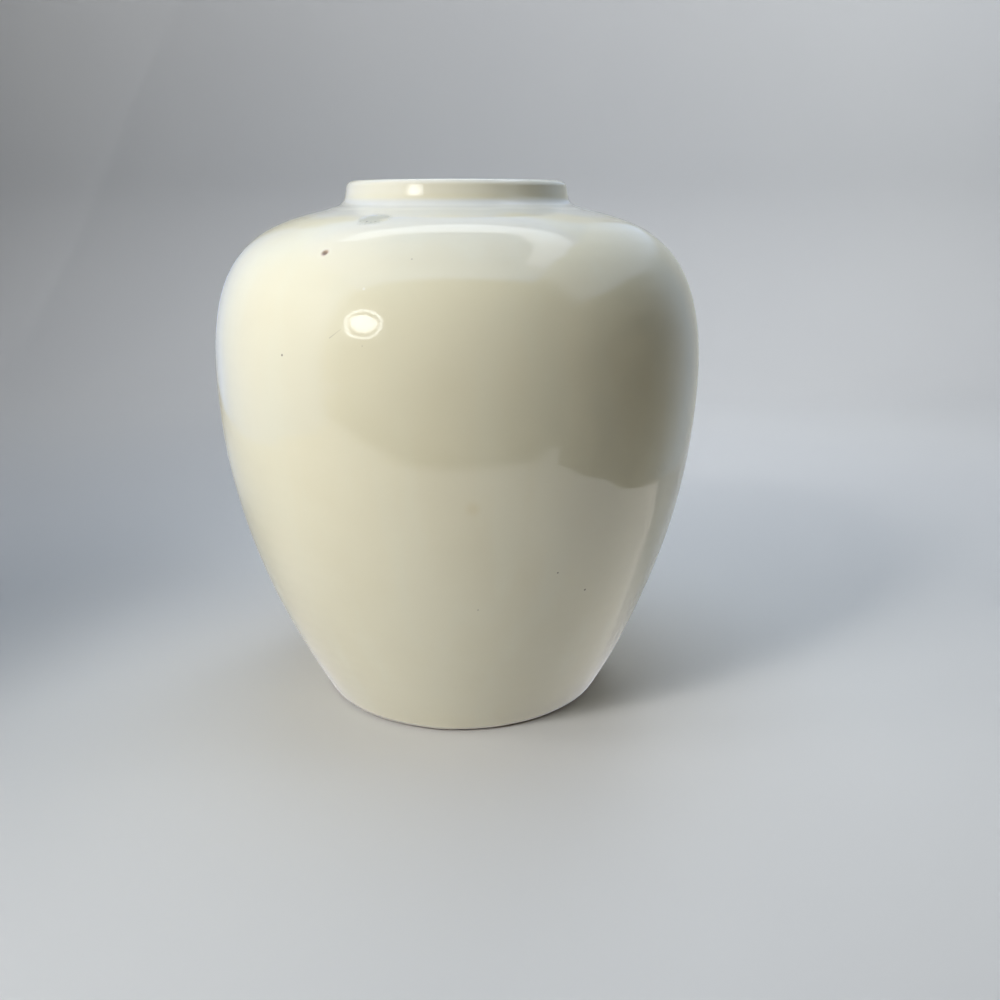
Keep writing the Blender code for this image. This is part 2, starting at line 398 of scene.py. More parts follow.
# marks in the outer glaze: azimuth in degrees, height and radius in mm, share as how strong the tint is
glazeMarks = {
    "pinhole": {
        "azimuth": -32.1, "height": 177.3, "radius": 0.78, "depth": 0.34,
        "rim": {"radius": 1.35, "width": 0.5, "height": 0.05},    # the glaze that drew back around it
        "rings": [("halo", 2.1, 0.6), ("rust", 1.25, 0.8), ("speck", 0.78, 0.6)],    # tint, radius, share
    },
    "specks": [               # the last value is how dark the speck is
        (-37.2, 146.6, 0.36, 0.75),
        (30.2, 64.1, 0.38, 0.80),
        (21.6, 73.9, 0.30, 0.75),
        (3.4, 62.2, 0.22, 0.60),
        (-10.1, 176.0, 0.24, 0.40),
        (-18.6, 151.2, 0.16, 0.40),
        (112.0, 141.0, 0.34, 0.75),
        (164.0, 88.0, 0.30, 0.70),
        (-121.0, 57.0, 0.28, 0.70),
        (201.0, 168.0, 0.24, 0.60),
    ],
    "stain": {"azimuth": 2.2, "height": 100.6, "radius": 1.9, "softness": 0.9, "share": 0.30},
    "pale": {"azimuth": -19.4, "height": 167.5, "radius": 0.45, "softness": 0.5, "share": 0.5},
    "scratch": {
        "from": (-25.6, 153.1), "to": (-23.3, 155.8), "points": 13, "share": 0.25,
        "radius": 0.17, "taper": (1.2, 0.6),    # wide at its start, narrower by that much at its end
    },
    "bareSpot": {
        "azimuth": -27.2, "height": 187.4, "radius": 5.4, "depth": 0.16, "share": 0.82,
        "ragged": 2.2, "raggedScale": 520.0, "shore": 0.72, "dulling": 0.30,
    },
    "bareDots": [(-28.3, 186.6, 0.40, 0.7), (-26.6, 186.4, 0.34, 0.7), (-25.7, 186.7, 0.30, 0.6)],
}

# ivory glaze: colours in linear light
ivoryGlaze = {
    "colour": rgb(0.805, 0.759, 0.572),
    "cloud": rgb(0.780, 0.727, 0.532),
    "flow": rgb(0.795, 0.761, 0.582),
    # pooled glaze, also the painted pale sheen in the band under the collar
    "pooledAndSheen": rgb(0.715, 0.720, 0.695),
    # thin glaze, also used as a painted highlight on the lip top and a painted sheen on the collar
    "thinAndHighlight": rgb(0.850, 0.825, 0.730),
    "edge": rgb(0.520, 0.400, 0.260),
    "bare": rgb(0.470, 0.450, 0.310),
    "speck": rgb(0.115, 0.080, 0.050),
    "rust": rgb(0.430, 0.270, 0.145),
    "halo": rgb(0.850, 0.800, 0.640),
    "pale": rgb(0.950, 0.940, 0.880),
    "stain": rgb(0.720, 0.610, 0.340),
    "roughness": 0.055,
    "smear": 0.03,            # added roughness in the dull places
    "ior": 1.65,
    "peel": 0.010,            # mm of orange peel
    "flowShare": 0.6,
    "flowStretch": 0.14,      # runs of glaze are long down the wall
    "fleck": {"scale": 95.0, "plainShare": 0.86, "size": 0.026},
    "fleckShare": 0.28,
    "scales": {"clouds": 17.0, "runs": 62.0, "smear": 45.0, "peel": 420.0},
}


def ivoryGlazeFinish(name, finish, marks):
    material, tree, shader, place = newFinish(name)
    scales = finish["scales"]
    clouds = rangeOf(tree, noiseOf(tree, place, scales["clouds"], 3.0), 0.35, 0.68)
    colour = mixOf(tree, clouds, finish["colour"], finish["cloud"])
    runs = noiseOf(tree, stretched(tree, place, 1.0, 1.0, finish["flowStretch"]), scales["runs"], 3.0)
    colour = mixOf(tree, rangeOf(tree, runs, 0.45, 0.70, 0.0, finish["flowShare"]), colour, finish["flow"])
    # pooled, thin and edge tints; the pooled and thin tints also carry a painted sheen and a painted
    # highlight
    for layer, tint in (("glazePoolAndSheen", "pooledAndSheen"), ("glazeThinAndHighlight", "thinAndHighlight"), ("glazeEdge", "edge")):
        colour = mixOf(tree, attributeOf(tree, layer), colour, finish[tint])
    dullest = finish["roughness"] + finish["smear"]
    smear = noiseOf(tree, place, scales["smear"], 2.0)
    roughness = rangeOf(tree, smear, 0.3, 0.7, finish["roughness"], dullest)
    if marks:
        colour, roughness = addMarks(tree, place, colour, roughness, finish, marks)
    # a scatter of pale brown iron specks, far apart
    fleck = fleckOf(tree, place, **finish["fleck"])
    colour = tinted(tree, colour, fleck, finish["fleckShare"], finish["stain"])
    peel = noiseOf(tree, place, scales["peel"], 2.0)
    tree.links.new(colour, shader.inputs["Base Color"])
    tree.links.new(roughness, shader.inputs["Roughness"])
    tree.links.new(bumpOf(tree, peel, 1.0, finish["peel"]), shader.inputs["Normal"])
    shader.inputs["IOR"].default_value = finish["ior"]
    return material


def addMarks(tree, place, colour, roughness, finish, marks):
    bare = marks["bareSpot"]
    centre = wallPoint(bare["azimuth"], bare["height"])
    distance = {0: place, 1: tuple(centre * mm)}
    away = addNode(tree, "ShaderNodeVectorMath", distance, operation="DISTANCE").outputs["Value"]
    ragged = noiseOf(tree, place, bare["raggedScale"], 3.0)
    swing = bare["ragged"] * mm
    shore = mathOf(tree, away, rangeOf(tree, ragged, 0.25, 0.75, -swing, swing))
    bareMask = rangeOf(tree, shore, bare["radius"] * mm, bare["radius"] * bare["shore"] * mm)
    colour = tinted(tree, colour, bareMask, bare["share"], finish["bare"])
    roughness = mathOf(tree, roughness, mathOf(tree, bareMask, bare["dulling"], "MULTIPLY"))
    for kind in ("stain", "pale"):
        mark = marks[kind]
        centre = wallPoint(mark["azimuth"], mark["height"])
        spot = spotOf(tree, place, centre, mark["radius"], mark["softness"])
        colour = tinted(tree, colour, spot, mark["share"], finish[kind])
    pin = marks["pinhole"]
    centre = wallPoint(pin["azimuth"], pin["height"])
    for tint, radius, share in pin["rings"]:
        colour = tinted(tree, colour, spotOf(tree, place, centre, radius, 0.5), share, finish[tint])
    lineMarks = []
    scratch = marks["scratch"]
    wide, narrowing = scratch["taper"]
    for share in np.linspace(0.0, 1.0, scratch["points"]):
        azimuth, height = (a + (b - a) * share for a, b in zip(scratch["from"], scratch["to"]))
        radius = scratch["radius"] * (wide - narrowing * share)
        lineMarks.append((azimuth, height, radius, scratch["share"]))
    for azimuth, height, radius, dark in marks["specks"] + marks["bareDots"] + lineMarks:
        spot = spotOf(tree, place, wallPoint(azimuth, height), radius, 0.5)
        colour = tinted(tree, colour, spot, dark, finish["speck"])
    return colour, roughness


# the liner glaze is the same glaze, a little thinner and greyer
linerFinish = dict(
    ivoryGlaze,
    colour=rgb(0.780, 0.735, 0.570),
    cloud=rgb(0.735, 0.685, 0.515),
    roughness=0.10,
)

# bare fired clay
bareClay = {
    "colour": rgb(0.640, 0.545, 0.420),
    "pale": rgb(0.730, 0.650, 0.530),
    "toasted": rgb(0.370, 0.235, 0.130),
    "grit": rgb(0.200, 0.130, 0.080),
    "roughness": 0.82,
    "sway": 0.08,             # roughness either way
    "grain": 0.05,            # mm
    "ringShare": 0.25,
    "ringStretch": 0.12,
    "fleck": {"scale": 420.0, "plainShare": 0.80, "size": 0.20},
    "gritShare": 0.6,
    "scales": {"patches": 60.0, "rings": 900.0, "grain": 1600.0},
}
clayCorner = math.radians(40)    # clay edges sharper than this stay crisp


def bareClayFinish(name, finish):
    material, tree, shader, place = newFinish(name)
    scales = finish["scales"]
    patches = rangeOf(tree, noiseOf(tree, place, scales["patches"], 4.0), 0.35, 0.7)
    colour = mixOf(tree, patches, finish["colour"], finish["pale"])
    stretch = finish["ringStretch"]
    rings = noiseOf(tree, stretched(tree, place, stretch, stretch, 1.0), scales["rings"], 2.0)
    rings = rangeOf(tree, rings, 0.45, 0.8, 0.0, finish["ringShare"])
    for mask in (rings, attributeOf(tree, "toasted")):
        colour = mixOf(tree, mask, colour, finish["toasted"])
    grit = fleckOf(tree, place, **finish["fleck"])
    colour = tinted(tree, colour, grit, finish["gritShare"], finish["grit"])
    grain = noiseOf(tree, place, scales["grain"], 3.0, 0.6)
    dull, sway = finish["roughness"], finish["sway"]
    tree.links.new(colour, shader.inputs["Base Color"])
    tree.links.new(rangeOf(tree, grain, 0.3, 0.7, dull - sway, dull + sway), shader.inputs["Roughness"])
    tree.links.new(bumpOf(tree, grain, 0.8, finish["grain"]), shader.inputs["Normal"])
    return material


ivoryMaterial = ivoryGlazeFinish("ivory_glaze_outside", ivoryGlaze, glazeMarks)
baseMaterial = ivoryGlazeFinish("ivory_glaze_base", ivoryGlaze, None)
linerMaterial = ivoryGlazeFinish("liner_glaze_inside", linerFinish, None)
clayMaterial = bareClayFinish("fired_clay", bareClay)
print("finishes made:", len(bpy.data.materials))


def setAttribute(mesh, name, values):
    layer = mesh.attributes.new(name, "FLOAT", "POINT")
    layer.data.foreach_set("value", np.asarray(values, np.float32).ravel())


def smoothStep(value, low, high):
    share = np.clip((value - low) / (high - low), 0.0, 1.0)
    return share * share * (3 - 2 * share)


def waveAround(azimuth, seed, orders, depth):
    draw = np.random.default_rng(seed)
    return sum(depth / math.sqrt(n) * np.cos(n * azimuth + draw.uniform(0, math.tau)) for n in orders)


# outer glaze: glaze line at the foot, wall, shoulder, collar, lip and turnover
outerGlaze = {
    "columns": 236,
    "wallSpacing": 1.45,
    "finishSpacing": 0.34,    # rows over the fillet, collar and lip
    "innerSpacing": 3.2,
    "lineHeight": 0.9,
    "lineWander": 0.10,
    "lineSeed": 9,
    "bead": {"place": 0.9, "width": 0.7, "height": 0.10},    # rounded edge of glaze at the foot
    "poolDepth": 0.20,        # glaze gathered in the angle under the collar
    "poolReach": 3.6,
    "poolWander": 0.8,
    "poolSeed": 5,
    "poolSheenSpread": 13.0,       # the paler band around it
    "poolAndSheenShare": 0.70,
    "lipThinning": 0.12,
    "crestWidth": 1.1,
    "turningDepth": 0.012,    # rings left under the glaze by turning
    "turningPitch": 6.5,
    "filletLength": 4.6,      # from the shoulder to the upright of the collar
    "pinColumns": (0.030, 0.0042),    # reach and spacing of the closer columns at the pinhole, in radians
    "pinRows": (2.0, 0.24),   # and of the closer rows
    # the lip and collar tints are partly thin glaze and partly a painted highlight and sheen
    "lipThinAndHighlight": 0.55,          # tints, as shares
    "collarThinAndSheen": 0.42,
    "edgeShare": 0.55,
}


def makeOuterGlaze(g):
    pin = glazeMarks["pinhole"]
    bare = glazeMarks["bareSpot"]
    pinPoint = wallPoint(pin["azimuth"], pin["height"])
    barePoint = wallPoint(bare["azimuth"], bare["height"])
    azimuth = refined(evenTurn(g["columns"]), math.radians(pin["azimuth"]), *g["pinColumns"])
    start = int(np.argmax(outsidePath[:, 1] >= g["lineHeight"]))
    path = outsidePath[start:]
    along = lengthsAlong(path)
    filletAt = along[np.argmax(np.all(np.isclose(path, filletCurve[0]), axis=1))]
    collarAt = filletAt + g["filletLength"]
    pinAt = along[np.argmin(np.hypot(*(path - (np.hypot(*pinPoint[:2]), pinPoint[2])).T))]
    fineFrom = filletAt - g["poolReach"] * 2
    walls = np.linspace(0.0, fineFrom, int(filletAt / g["wallSpacing"]))
    finish = np.linspace(fineFrom, along[-1], int((along[-1] - filletAt) / g["finishSpacing"]))
    stations = refined(np.unique(np.concatenate([walls, finish])), pinAt, *g["pinRows"])
    skin = atLengths(path, stations)
    # the hidden back is coarser, with closer rows behind the collar
    back = insetPath(evenly(path, g["innerSpacing"]), vaseForm["glaze"])
    fineBack = insetPath(atLengths(path, stations[stations > filletAt - 2.0][::3]), vaseForm["glaze"])
    back = joinRuns(back[: int(np.argmax(lengthsAlong(back) > filletAt - 4.0))], fineBack)

    around = azimuth[None, :]
    distance = stations[:, None]
    flat = spinRows(skin, azimuth)
    # pooled glaze: thick in the angle, with a wandering lower edge on the shoulder
    wandering = waveAround(around, g["poolSeed"], range(2, 23, 2), g["poolWander"])
    poolEdge = filletAt - g["poolReach"] + wandering
    pool = smoothStep(distance, poolEdge - 1.0, poolEdge + 2.4)
    pool = pool * (1 - smoothStep(distance, collarAt - 1.5, collarAt + 2.5))
    crest = np.exp(-((skin[:, 1:2] - vaseForm["height"]) / g["crestWidth"]) ** 2)
    rings = np.sin(math.tau * distance / g["turningPitch"] + around)
    fade = smoothStep(distance, 6.0, 25.0) * (1 - smoothStep(distance, filletAt - 14.0, filletAt - 6.0))
    push = g["poolDepth"] * pool * (1 - smoothStep(distance, collarAt - 4.0, collarAt + 2.0) * 0.6)
    push = push - g["lipThinning"] * crest + g["turningDepth"] * rings * fade
    bead = g["bead"]
    push = push + bead["height"] * np.exp(-((distance - bead["place"]) / bead["width"]) ** 2)
    hole = np.linalg.norm(flat - pinPoint, axis=2)
    rim = pin["rim"]
    push = push - pin["depth"] * np.exp(-((hole / pin["radius"]) ** 4))
    push = push + rim["height"] * np.exp(-(((hole - rim["radius"]) / rim["width"]) ** 2))
    thinned = np.linalg.norm(flat - barePoint, axis=2)
    push = push - bare["depth"] * (1 - smoothStep(thinned, bare["radius"] * 0.6, bare["radius"] * 1.15))
    rows = spinRows(skin, azimuth, push)
    wander = waveAround(around, g["lineSeed"], range(2, 24, 3), g["lineWander"])
    rows[:, :, 2] += wander * (1 - smoothStep(distance, 0.0, 5.0))

    backRows = spinRows(back[::-1], azimuth)
    whole = np.concatenate([rows, backRows])
    # the seen side takes most of the map
    stripV = np.concatenate([0.86 * stations / stations[-1], np.linspace(0.88, 1.0, len(back))])
    mesh = skinMesh("outer_glaze_skin", whole, closed=True, stripV=stripV)
    hidden = np.zeros((len(back), len(azimuth)))
    # the paler band under the collar is pooled glaze with a painted pale sheen where the fillet mirrors the
    # light above
    bandEdge = filletAt - g["poolSheenSpread"] + 2 * wandering
    band = smoothStep(distance, bandEdge - 3.0, bandEdge + 4.0)
    band = band * (1 - smoothStep(distance, collarAt - 2.0, collarAt + 0.5))
    setAttribute(mesh, "glazePoolAndSheen", np.concatenate([g["poolAndSheenShare"] * band, hidden]))
    # paler lip crest and collar: thin glaze plus a painted highlight on the lip top and a painted sheen on
    # the collar
    onCollar = smoothStep(distance, collarAt - 1.0, collarAt + 2.0)
    thinAndHighlight = np.maximum(g["lipThinAndHighlight"] * crest, g["collarThinAndSheen"] * onCollar) * np.ones_like(around)
    setAttribute(mesh, "glazeThinAndHighlight", np.concatenate([thinAndHighlight, hidden]))
    edge = g["edgeShare"] * (1 - smoothStep(distance, 0.1, 0.8)) * np.ones_like(around)
    setAttribute(mesh, "glazeEdge", np.concatenate([edge, hidden]))
    return placePiece("outerGlaze", mesh, ivoryMaterial, "outer_glaze")


# liner glaze: throat, shoulder, wall with the maker's finger rings, and floor
linerGlaze = {
    "columns": 192,
    "spacing": 1.5,
    "backSpacing": 4.0,
    "ringDepth": 0.22,
    "ringPitch": 8.5,
    "joinDepth": 0.35,        # soft ridge where the two sections were luted
    "joinWidth": 3.2,
    "floorRadius": 42.0,
    "poolAndSheenShare": 0.5,         # glaze gathered around the edge of the floor
}


def makeLinerGlaze(g):
    azimuth = evenTurn(g["columns"])
    front = evenly(insidePath, g["spacing"])
    along = lengthsAlong(front)
    floorAt = along[-1] - g["floorRadius"]
    joinAt = along[firstBelow(front, vaseForm["bellyHeight"] + 2.0)]
    front = front[front[:, 0] > 1.0]
    distance = along[: len(front), None]
    around = azimuth[None, :]
    wobble = 0.6 * np.sin(3 * around + distance / 31.0)
    spiral = np.sin(math.tau * distance / g["ringPitch"] + around + wobble)
    flatter = 1 - 0.45 * smoothStep(distance, floorAt - 12.0, floorAt + 6.0)
    fade = smoothStep(distance, 14.0, 34.0) * flatter
    push = g["ringDepth"] * spiral * fade * np.clip(front[:, 0:1] / 12.0, 0.0, 1.0)
    push = push + g["joinDepth"] * np.exp(-((distance - joinAt) / g["joinWidth"]) ** 2)
    rows = spinRows(front, azimuth, push)
    back = insetPath(evenly(insidePath, g["backSpacing"]), vaseForm["glaze"])
    back = back[back[:, 0] > 2.0]
    backRows = spinRows(back[::-1], azimuth)
    whole = np.concatenate([backRows, rows])
    edgeRow = len(back)
    floorRow = edgeRow + int(np.argmax(along[: len(front)] >= floorAt))
    stripV = np.concatenate([np.linspace(0.56, 0.50, edgeRow), np.linspace(0.0, 0.48, len(front))])
    discs = [((floorRow, len(whole) - 1), (0.21, 0.79), 0.20, g["floorRadius"] + 3)]
    poles = {"poleStart": floorTop - vaseForm["glaze"], "poleEnd": floorTop}
    mesh = skinMesh("liner_glaze_skin", whole, stripV=stripV, discs=discs, **poles)
    pooledAndSheen = smoothStep(distance, floorAt - 10.0, floorAt)
    pooledAndSheen = pooledAndSheen * (1 - smoothStep(distance, floorAt + 8.0, floorAt + 22.0))
    pooledAndSheen = pooledAndSheen * np.ones_like(around) * g["poolAndSheenShare"]
    hidden = np.zeros((edgeRow, len(azimuth)))
    values = np.concatenate([np.concatenate([hidden, pooledAndSheen]).ravel(), [0.0, 0.0]])
    setAttribute(mesh, "glazePoolAndSheen", values)
    return placePiece("linerGlaze", mesh, linerMaterial, "liner_glaze")


# foot ring: flat bearing face with turning grooves, eased edges, bare clay
footRing = {
    "columns": 200,
    "height": 9.0,
    "width": 6.5,
    "easing": 0.8,
    "grooveDepth": 0.045,
    "groovePitch": 0.85,
    "faceSpacing": 0.14,
    "wallSpacing": 0.9,
    "boreSpacing": 1.2,
    "chipDepth": 0.10,
    "chipSeed": 31,
    "toastShare": 0.7,        # browned by the fire along the outer edge
}
footBore = vaseForm["footRadius"] - coat - footRing["width"]


def makeFootRing(g):
    azimuth = evenTurn(g["columns"])
    top = g["height"] - vaseForm["seam"]
    wall = insetPath(lowerWall, coat)
    wall = wall[(wall[:, 1] >= g["easing"]) & (wall[:, 1] <= top)]
    lean = math.radians(vaseForm["footLean"])
    outerEdge = (wall[0, 0] - g["easing"] / math.tan(lean), 0.0)
    innerEase = roundedCorner((footBore, top), (footBore, 0.0), outerEdge, g["easing"], 8)
    outerEase = roundedCorner((footBore, 0.0), outerEdge, wall[0], g["easing"], 8)
    face = evenly(np.array([innerEase[-1], outerEase[0]]), g["faceSpacing"])
    outline = joinRuns(innerEase, face, outerEase, evenly(wall, g["wallSpacing"]), (footBore, top))
    boreLine = evenly(np.array([(footBore, top), innerEase[0]]), g["boreSpacing"])
    outline = np.concatenate([outline, boreLine[1:-1]])
    flat = outline[:, 1] < 0.02
    turned = np.cos(math.tau * outline[:, 0] / g["groovePitch"]) - 1
    groove = np.where(flat, g["grooveDepth"] * turned / 2, 0.0)
    rows = spinRows(outline, azimuth)
    rows[:, :, 2] -= groove[:, None]
    # small knocks along the outer edge
    knocks = np.clip(waveAround(azimuth, g["chipSeed"], range(9, 60, 5), 0.5) - 0.75, 0.0, 1.0)
    nearEdge = np.exp(-((outline[:, 0:1] - outerEdge[0]) / 0.5) ** 2) * (outline[:, 1:2] < 1.6)
    rows[:, :, 2] += g["chipDepth"] * knocks[None, :] * nearEdge
    stripV = np.linspace(0.0, 1.0, len(outline))
    mesh = skinMesh("foot_ring_skin", rows, closed=True, stripV=stripV)
    outermost = smoothStep(outline[:, 0], outerEdge[0] - 1.4, outerEdge[0] + 0.4)
    toasted = g["toastShare"] * outermost * (outline[:, 1] < 4.0)
    setAttribute(mesh, "toasted", np.repeat(toasted, len(azimuth)))
    mesh.set_sharp_from_angle(angle=clayCorner)
    return placePiece("footRing", mesh, clayMaterial, "foot_ring")


# glaze under the floor, turned down the bore of the ring
baseGlaze = {
    "columns": 160,
    "spacing": 1.0,
    "cove": 1.5,
    "lineHeight": 2.0,
    "lineWander": 0.25,
    "lineSeed": 17,
    "ringDepth": 0.06,
    "ringPitch": 4.2,
    "bossRadius": 4.5,        # small swelling left at the middle by the turning tool
    "bossDepth": 0.22,
    "edgeShare": 0.75,
}


def makeBaseGlaze(g):
    azimuth = evenTurn(g["columns"])
    around = azimuth[None, :]
    bore = footBore - coat
    backRadius = footBore - vaseForm["seam"]
    recess = vaseForm["recess"]
    top = recess + vaseForm["glaze"]
    line = g["lineHeight"]
    cove = roundedCorner((0.0, recess), (bore, recess), (bore, 0.0), g["cove"], 10)
    floor = evenly(np.array([(1.0, recess), cove[0]]), g["spacing"])
    bead = roundedCorner((bore, recess), (bore, line), (backRadius, line), vaseForm["glaze"] * 0.6, 5)
    down = evenly(np.array([cove[-1], bead[0]]), 0.6)
    front = joinRuns(floor, cove, down, bead, (backRadius, line))
    back = np.array([(backRadius, top - 0.3), (backRadius, top)])
    hiddenTop = evenly(np.array([(backRadius, top), (2.0, top)]), 6.0)
    outline = joinRuns(front, back, hiddenTop)
    radius = front[:, 0:1]
    onFloor = (front[:, 1:2] > recess - 0.02) * (1 - smoothStep(radius, bore - 6.0, bore - 2.5))
    swirl = np.cos(math.tau * radius / g["ringPitch"] + around)
    lift = g["ringDepth"] * swirl * onFloor * np.clip(radius / 9.0, 0, 1)
    lift = lift - g["bossDepth"] * np.exp(-((radius / g["bossRadius"]) ** 2)) * onFloor
    rows = spinRows(outline, azimuth)
    rows[: len(front), :, 2] += lift
    wander = waveAround(around, g["lineSeed"], range(2, 30, 3), g["lineWander"])
    rows[:, :, 2] += wander * (1 - smoothStep(outline[:, 1:2], line, recess - 1.0))
    stripV = np.linspace(0.0, 0.10, len(outline))
    lastFloor = len(floor) - 1
    discs = [
        ((0, lastFloor), (0.45, 0.56), 0.43, bore),
        ((len(outline) - len(hiddenTop) + 1, len(outline) - 1), (0.94, 0.94), 0.055, bore),
    ]
    poles = {"poleStart": recess - g["bossDepth"], "poleEnd": top}
    mesh = skinMesh("base_glaze_skin", rows, stripV=stripV, discs=discs, **poles)
    edge = g["edgeShare"] * (1 - smoothStep(outline[:, 1], line, line + 0.8))
    values = np.concatenate([np.repeat(edge, len(azimuth)), [0.0, 0.0]])
    setAttribute(mesh, "glazeEdge", values)
    return placePiece("baseGlaze", mesh, baseMaterial, "base_glaze")


# the three clay sections under the glaze, with their lap, seat and spigot
claySections = {
    "columns": 128,
    "spacing": 2.4,
    "lap": 4.0,
    "spigot": 2.2,
    "seatShare": 0.30,
    "collarSpacing": 0.7,
    "throatSpacing": 0.8,
}
lapRadius = vaseForm["bellyRadius"] - coat - vaseForm["clayWall"] / 2
neckOpening = throatRadius + coat + claySections["spigot"] + vaseForm["seam"]
clayOutside = insetPath(wallPath, coat)
clayInside = insetPath(wallPath, fullWall - coat)


def between(path, low, high):
    return path[(path[:, 1] > low) & (path[:, 1] < high)]


def makeLowerBody(g):
    seam = vaseForm["seam"]
    boss = footBore - seam
    under = vaseForm["recess"] + coat
    lapTop = vaseForm["bellyHeight"] + g["lap"]
    upstand = lapRadius - seam / 2
    bowl = insetPath(insidePath, coat)
    bowl = bowl[firstBelow(bowl, lapTop):]
    outline = joinRuns(
        (2.0, under), (boss, under), (boss, footRing["height"]),
        evenly(between(clayOutside, footRing["height"], vaseForm["bellyHeight"]), g["spacing"]),
        (upstand, vaseForm["bellyHeight"]), (upstand, lapTop),
        evenly(bowl[bowl[:, 0] > 2.0], g["spacing"]),
    )
    rows = spinRows(outline, evenTurn(g["columns"]))
    mesh = skinMesh("lower_body_skin", rows, poleStart=under, poleEnd=floorTop - coat)
    mesh.set_sharp_from_angle(angle=clayCorner)
    return placePiece("lowerBody", mesh, clayMaterial, "lower_body")


def neckSeat(g):
    edge = clayOutside[-1]
    return edge[0], edge[1] - g["seatShare"] * vaseForm["clayWall"]


def underShoulderAt(radius, depth):
    end = insetPath(wallPath, fullWall - depth)[-1]
    return radius, end[1] + (end[0] - radius) * math.tan(math.radians(vaseForm["shoulderSlope"]))


def makeUpperBody(g):
    seam = vaseForm["seam"]
    skirt = lapRadius + seam / 2
    skirtFoot = vaseForm["bellyHeight"] + seam
    lapTop = vaseForm["bellyHeight"] + g["lap"] + seam
    seatRadius, seatHeight = neckSeat(g)
    outline = joinRuns(
        evenly(between(clayOutside, skirtFoot, vaseForm["height"]), g["spacing"]),
        (seatRadius, seatHeight), (neckOpening, seatHeight), underShoulderAt(neckOpening, coat),
        evenly(between(clayInside, lapTop, vaseForm["height"])[::-1], g["spacing"]),
        (skirt, lapTop), (skirt, skirtFoot),
    )
    mesh = skinMesh("upper_body_skin", spinRows(outline, evenTurn(g["columns"])), closed=True)
    mesh.set_sharp_from_angle(angle=clayCorner)
    return placePiece("upperBody", mesh, clayMaterial, "upper_body")


def makeNeckCollar(g):
    seam = vaseForm["seam"]
    seatRadius, seatHeight = neckSeat(g)
    flange = seatRadius - seam
    underside = seatHeight + seam
    spigot = neckOpening - seam
    collar = insetPath(joinRuns(filletCurve, lipCurve), coat)
    throat = insetPath(insidePath, coat)
    throat = throat[(throat[:, 1] > underShoulderAt(spigot, coat)[1]) & (throat[:, 0] < spigot)]
    outline = joinRuns(
        (flange, underside), evenly(collar[collar[:, 0] < flange], g["collarSpacing"]),
        evenly(throat, g["throatSpacing"]), underShoulderAt(spigot, coat), (spigot, underside),
    )
    mesh = skinMesh("neck_collar_skin", spinRows(outline, evenTurn(g["columns"])), closed=True)
    mesh.set_sharp_from_angle(angle=clayCorner)
    return placePiece("neckCollar", mesh, clayMaterial, "neck_collar")


madePieces = [
    makeOuterGlaze(outerGlaze),
    makeLinerGlaze(linerGlaze),
    makeBaseGlaze(baseGlaze),
    makeFootRing(footRing),
]
madePieces += [make(claySections) for make in (makeLowerBody, makeUpperBody, makeNeckCollar)]
for piece in madePieces:
    print("piece", piece.name, "has", len(piece.data.polygons), "faces")


# floor and backdrop in one sweep, in metres
studioSweep = {
    "halfWidth": 0.85,
    "front": -0.33,
    "bendStart": 0.52,
    "bendRadius": 0.22,
    "top": 2.2,
    "colour": rgb(0.69, 0.695, 0.70),
    "shade": rgb(0.67, 0.675, 0.685),
    "roughness": 0.9,
}


def makeSweep(s):
    bend = np.linspace(0.0, math.pi / 2, 24)
    start, radius = s["bendStart"], s["bendRadius"]
    line = [(s["front"], 0.0)]
    line += [(start + radius * math.sin(a), radius - radius * math.cos(a)) for a in bend]
    line.append((line[-1][0], s["top"]))
    points = [(x, y, z) for y, z in line for x in (-s["halfWidth"], s["halfWidth"])]
    faces = [(2 * i, 2 * i + 1, 2 * i + 3, 2 * i + 2) for i in range(len(line) - 1)]
    mesh = bpy.data.meshes.new("studio_sweep")
    mesh.from_pydata(points, [], faces)
    mesh.shade_smooth()
    material, tree, shader, place = newFinish("pale_paper")
    tone = rangeOf(tree, noiseOf(tree, place, 3.0, 2.0), 0.3, 0.7)
    tree.links.new(mixOf(tree, tone, s["colour"], s["shade"]), shader.inputs["Base Color"])
    shader.inputs["Roughness"].default_value = s["roughness"]
    shader.inputs["Specular IOR Level"].default_value = 0.0
    mesh.materials.append(material)
    sweep = bpy.data.objects.new("studioSweep", mesh)
    bpy.context.scene.collection.objects.link(sweep)


makeSweep(studioSweep)

